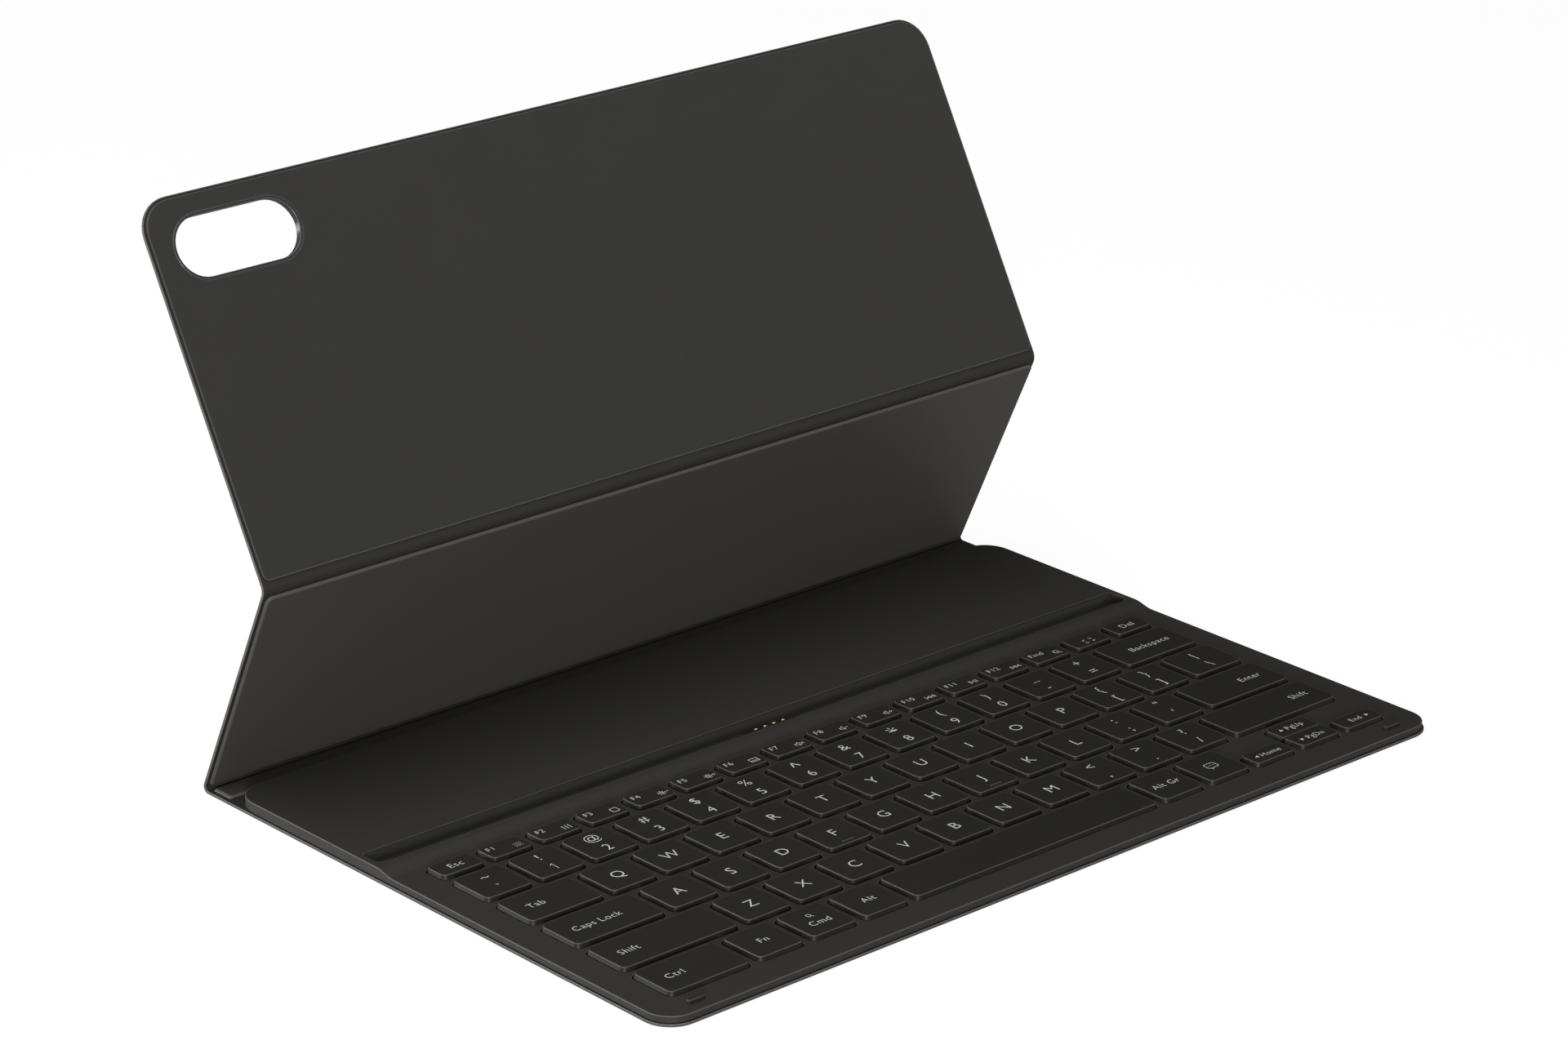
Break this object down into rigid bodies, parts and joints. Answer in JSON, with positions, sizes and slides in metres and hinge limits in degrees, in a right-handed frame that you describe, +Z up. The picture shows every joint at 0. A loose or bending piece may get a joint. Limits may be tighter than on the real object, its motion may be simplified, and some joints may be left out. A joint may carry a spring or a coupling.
{
  "type": "tablet keyboard case",
  "caption": "Folding tablet cover with a thin keyboard: flat base with keys and a magnetic dock, hinged spine, and a two-part back that props the tablet up.",
  "frame": {"origin": "middle of the underside of the base, on the desk, halfway across the case and halfway from its front edge to its rear crease", "axes": "+X to the right of a person who types, +Y from the person towards the back, +Z up"},
  "size_m": [0.286, 0.219, 0.1636],
  "materials": {
    "cover_skin": "matt polyurethane skin with a very fine grain, dark grey",
    "crease_film": "the same skin where it bends",
    "deck_plastic": "fine matt moulded plastic, dark warm grey",
    "key_plastic": "matt moulded plastic, darker than the deck",
    "dock_plastic": "matt moulded strip",
    "contact_plastic": "black moulded block",
    "gold_pins": "gold plated pins",
    "plate_steel": "thin stamped sheet",
    "switch_film": "black printed film",
    "dome_rubber": "translucent silicone",
    "scissor_plastic": "white moulded frames",
    "magnet": "nickel plated bars",
    "board_laminate": "green circuit laminate",
    "bumper_rubber": "soft black rubber",
    "lining_plastic": "matt inner plate, dark grey",
    "stiffener": "black laminate board",
    "soft_lining": "short microfibre nap, dark grey",
    "rim_plastic": "satin black rim"
  },
  "bodies": {
    "base": {"base_skin": "cover_skin", "keyboard_deck": "deck_plastic", "support_plate": "plate_steel", "key_membrane": "switch_film", "rubber_domes": "dome_rubber", "scissor_frames": "scissor_plastic", "dock_insert": "dock_plastic", "contact_block": "contact_plastic", "contact_pins": "gold_pins", "dock_magnets": "magnet", "controller_board": "board_laminate", "dock_flex": "switch_film", "front_bumpers": "bumper_rubber", "spine_crease": "crease_film"},
    "spine": {"spine_skin": "cover_skin", "spine_plate": "lining_plastic", "rear_crease": "crease_film"},
    "lower_panel": {"lower_skin": "cover_skin", "lower_board": "stiffener", "lower_lining": "lining_plastic", "fold_crease": "crease_film"},
    "upper_panel": {"upper_skin": "cover_skin", "upper_board": "stiffener", "upper_lining": "soft_lining", "panel_magnets": "magnet", "camera_rim": "rim_plastic", "pen_pocket": "cover_skin"},
    "key_escape_body": {"key_escape": "key_plastic"},
    "keys_f1_to_f4_body": {"keys_f1_to_f4": "key_plastic"},
    "keys_f5_to_f8_body": {"keys_f5_to_f8": "key_plastic"},
    "keys_f9_to_f12_body": {"keys_f9_to_f12": "key_plastic"},
    "keys_screen_search_body": {"keys_screen_search": "key_plastic"},
    "key_delete_body": {"key_delete": "key_plastic"},
    "keys_digits_left_body": {"keys_digits_left": "key_plastic"},
    "keys_digits_right_body": {"keys_digits_right": "key_plastic"},
    "key_backspace_body": {"key_backspace": "key_plastic"},
    "key_tab_body": {"key_tab": "key_plastic"},
    "keys_q_to_t_body": {"keys_q_to_t": "key_plastic"},
    "keys_y_to_p_body": {"keys_y_to_p": "key_plastic"},
    "keys_brackets_body": {"keys_brackets": "key_plastic"},
    "key_caps_lock_body": {"key_caps_lock": "key_plastic"},
    "keys_a_to_g_body": {"keys_a_to_g": "key_plastic"},
    "keys_h_to_quote_body": {"keys_h_to_quote": "key_plastic"},
    "key_enter_body": {"key_enter": "key_plastic"},
    "key_left_shift_body": {"key_left_shift": "key_plastic"},
    "keys_z_to_b_body": {"keys_z_to_b": "key_plastic"},
    "keys_n_to_slash_body": {"keys_n_to_slash": "key_plastic"},
    "key_right_shift_body": {"key_right_shift": "key_plastic"},
    "key_control_body": {"key_control": "key_plastic"},
    "key_function_body": {"key_function": "key_plastic"},
    "key_command_body": {"key_command": "key_plastic"},
    "key_alt_body": {"key_alt": "key_plastic"},
    "key_space_body": {"key_space": "key_plastic"},
    "key_alt_right_body": {"key_alt_right": "key_plastic"},
    "key_assistant_body": {"key_assistant": "key_plastic"},
    "key_left_body": {"key_left": "key_plastic"},
    "key_up_body": {"key_up": "key_plastic"},
    "key_down_body": {"key_down": "key_plastic"},
    "key_right_body": {"key_right": "key_plastic"}
  },
  "joints": [
    {"name": "spine_hinge", "type": "hinge", "parent": "base", "child": "spine", "pos_m": [0, 0.0863, 0.0004], "axis": [1, 0, 0], "range_deg": [0, 65]},
    {"name": "rear_hinge", "type": "hinge", "parent": "spine", "child": "lower_panel", "pos_m": [0, 0.0978, 0.0004], "axis": [1, 0, 0], "range_deg": [-80, 0]},
    {"name": "fold_hinge", "type": "hinge", "parent": "lower_panel", "child": "upper_panel", "pos_m": [0, 0.0661, 0.06837], "axis": [1, 0, 0], "range_deg": [0, 54.1]},
    {"name": "press_escape", "type": "slide", "parent": "base", "child": "key_escape_body", "axis": [0, 0, 1], "range_m": [-0.00095, 0], "stiffness_N_per_m": 500, "springref_m": 0.0005},
    {"name": "press_f1_to_f4", "type": "slide", "parent": "base", "child": "keys_f1_to_f4_body", "axis": [0, 0, 1], "range_m": [-0.00095, 0], "stiffness_N_per_m": 500, "springref_m": 0.0005},
    {"name": "press_f5_to_f8", "type": "slide", "parent": "base", "child": "keys_f5_to_f8_body", "axis": [0, 0, 1], "range_m": [-0.00095, 0], "stiffness_N_per_m": 500, "springref_m": 0.0005},
    {"name": "press_f9_to_f12", "type": "slide", "parent": "base", "child": "keys_f9_to_f12_body", "axis": [0, 0, 1], "range_m": [-0.00095, 0], "stiffness_N_per_m": 500, "springref_m": 0.0005},
    {"name": "press_screen_search", "type": "slide", "parent": "base", "child": "keys_screen_search_body", "axis": [0, 0, 1], "range_m": [-0.00095, 0], "stiffness_N_per_m": 500, "springref_m": 0.0005},
    {"name": "press_delete", "type": "slide", "parent": "base", "child": "key_delete_body", "axis": [0, 0, 1], "range_m": [-0.00095, 0], "stiffness_N_per_m": 500, "springref_m": 0.0005},
    {"name": "press_digits_left", "type": "slide", "parent": "base", "child": "keys_digits_left_body", "axis": [0, 0, 1], "range_m": [-0.00095, 0], "stiffness_N_per_m": 500, "springref_m": 0.0005},
    {"name": "press_digits_right", "type": "slide", "parent": "base", "child": "keys_digits_right_body", "axis": [0, 0, 1], "range_m": [-0.00095, 0], "stiffness_N_per_m": 500, "springref_m": 0.0005},
    {"name": "press_backspace", "type": "slide", "parent": "base", "child": "key_backspace_body", "axis": [0, 0, 1], "range_m": [-0.00095, 0], "stiffness_N_per_m": 500, "springref_m": 0.0005},
    {"name": "press_tab", "type": "slide", "parent": "base", "child": "key_tab_body", "axis": [0, 0, 1], "range_m": [-0.00095, 0], "stiffness_N_per_m": 500, "springref_m": 0.0005},
    {"name": "press_q_to_t", "type": "slide", "parent": "base", "child": "keys_q_to_t_body", "axis": [0, 0, 1], "range_m": [-0.00095, 0], "stiffness_N_per_m": 500, "springref_m": 0.0005},
    {"name": "press_y_to_p", "type": "slide", "parent": "base", "child": "keys_y_to_p_body", "axis": [0, 0, 1], "range_m": [-0.00095, 0], "stiffness_N_per_m": 500, "springref_m": 0.0005},
    {"name": "press_brackets", "type": "slide", "parent": "base", "child": "keys_brackets_body", "axis": [0, 0, 1], "range_m": [-0.00095, 0], "stiffness_N_per_m": 500, "springref_m": 0.0005},
    {"name": "press_caps_lock", "type": "slide", "parent": "base", "child": "key_caps_lock_body", "axis": [0, 0, 1], "range_m": [-0.00095, 0], "stiffness_N_per_m": 500, "springref_m": 0.0005},
    {"name": "press_a_to_g", "type": "slide", "parent": "base", "child": "keys_a_to_g_body", "axis": [0, 0, 1], "range_m": [-0.00095, 0], "stiffness_N_per_m": 500, "springref_m": 0.0005},
    {"name": "press_h_to_quote", "type": "slide", "parent": "base", "child": "keys_h_to_quote_body", "axis": [0, 0, 1], "range_m": [-0.00095, 0], "stiffness_N_per_m": 500, "springref_m": 0.0005},
    {"name": "press_enter", "type": "slide", "parent": "base", "child": "key_enter_body", "axis": [0, 0, 1], "range_m": [-0.00095, 0], "stiffness_N_per_m": 500, "springref_m": 0.0005},
    {"name": "press_left_shift", "type": "slide", "parent": "base", "child": "key_left_shift_body", "axis": [0, 0, 1], "range_m": [-0.00095, 0], "stiffness_N_per_m": 500, "springref_m": 0.0005},
    {"name": "press_z_to_b", "type": "slide", "parent": "base", "child": "keys_z_to_b_body", "axis": [0, 0, 1], "range_m": [-0.00095, 0], "stiffness_N_per_m": 500, "springref_m": 0.0005},
    {"name": "press_n_to_slash", "type": "slide", "parent": "base", "child": "keys_n_to_slash_body", "axis": [0, 0, 1], "range_m": [-0.00095, 0], "stiffness_N_per_m": 500, "springref_m": 0.0005},
    {"name": "press_right_shift", "type": "slide", "parent": "base", "child": "key_right_shift_body", "axis": [0, 0, 1], "range_m": [-0.00095, 0], "stiffness_N_per_m": 500, "springref_m": 0.0005},
    {"name": "press_control", "type": "slide", "parent": "base", "child": "key_control_body", "axis": [0, 0, 1], "range_m": [-0.00095, 0], "stiffness_N_per_m": 500, "springref_m": 0.0005},
    {"name": "press_function", "type": "slide", "parent": "base", "child": "key_function_body", "axis": [0, 0, 1], "range_m": [-0.00095, 0], "stiffness_N_per_m": 500, "springref_m": 0.0005},
    {"name": "press_command", "type": "slide", "parent": "base", "child": "key_command_body", "axis": [0, 0, 1], "range_m": [-0.00095, 0], "stiffness_N_per_m": 500, "springref_m": 0.0005},
    {"name": "press_alt", "type": "slide", "parent": "base", "child": "key_alt_body", "axis": [0, 0, 1], "range_m": [-0.00095, 0], "stiffness_N_per_m": 500, "springref_m": 0.0005},
    {"name": "press_space", "type": "slide", "parent": "base", "child": "key_space_body", "axis": [0, 0, 1], "range_m": [-0.00095, 0], "stiffness_N_per_m": 500, "springref_m": 0.0005},
    {"name": "press_alt_right", "type": "slide", "parent": "base", "child": "key_alt_right_body", "axis": [0, 0, 1], "range_m": [-0.00095, 0], "stiffness_N_per_m": 500, "springref_m": 0.0005},
    {"name": "press_assistant", "type": "slide", "parent": "base", "child": "key_assistant_body", "axis": [0, 0, 1], "range_m": [-0.00095, 0], "stiffness_N_per_m": 500, "springref_m": 0.0005},
    {"name": "press_left", "type": "slide", "parent": "base", "child": "key_left_body", "axis": [0, 0, 1], "range_m": [-0.00095, 0], "stiffness_N_per_m": 500, "springref_m": 0.0005},
    {"name": "press_up", "type": "slide", "parent": "base", "child": "key_up_body", "axis": [0, 0, 1], "range_m": [-0.00095, 0], "stiffness_N_per_m": 500, "springref_m": 0.0005},
    {"name": "press_down", "type": "slide", "parent": "base", "child": "key_down_body", "axis": [0, 0, 1], "range_m": [-0.00095, 0], "stiffness_N_per_m": 500, "springref_m": 0.0005},
    {"name": "press_right", "type": "slide", "parent": "base", "child": "key_right_body", "axis": [0, 0, 1], "range_m": [-0.00095, 0], "stiffness_N_per_m": 500, "springref_m": 0.0005}
  ]
}
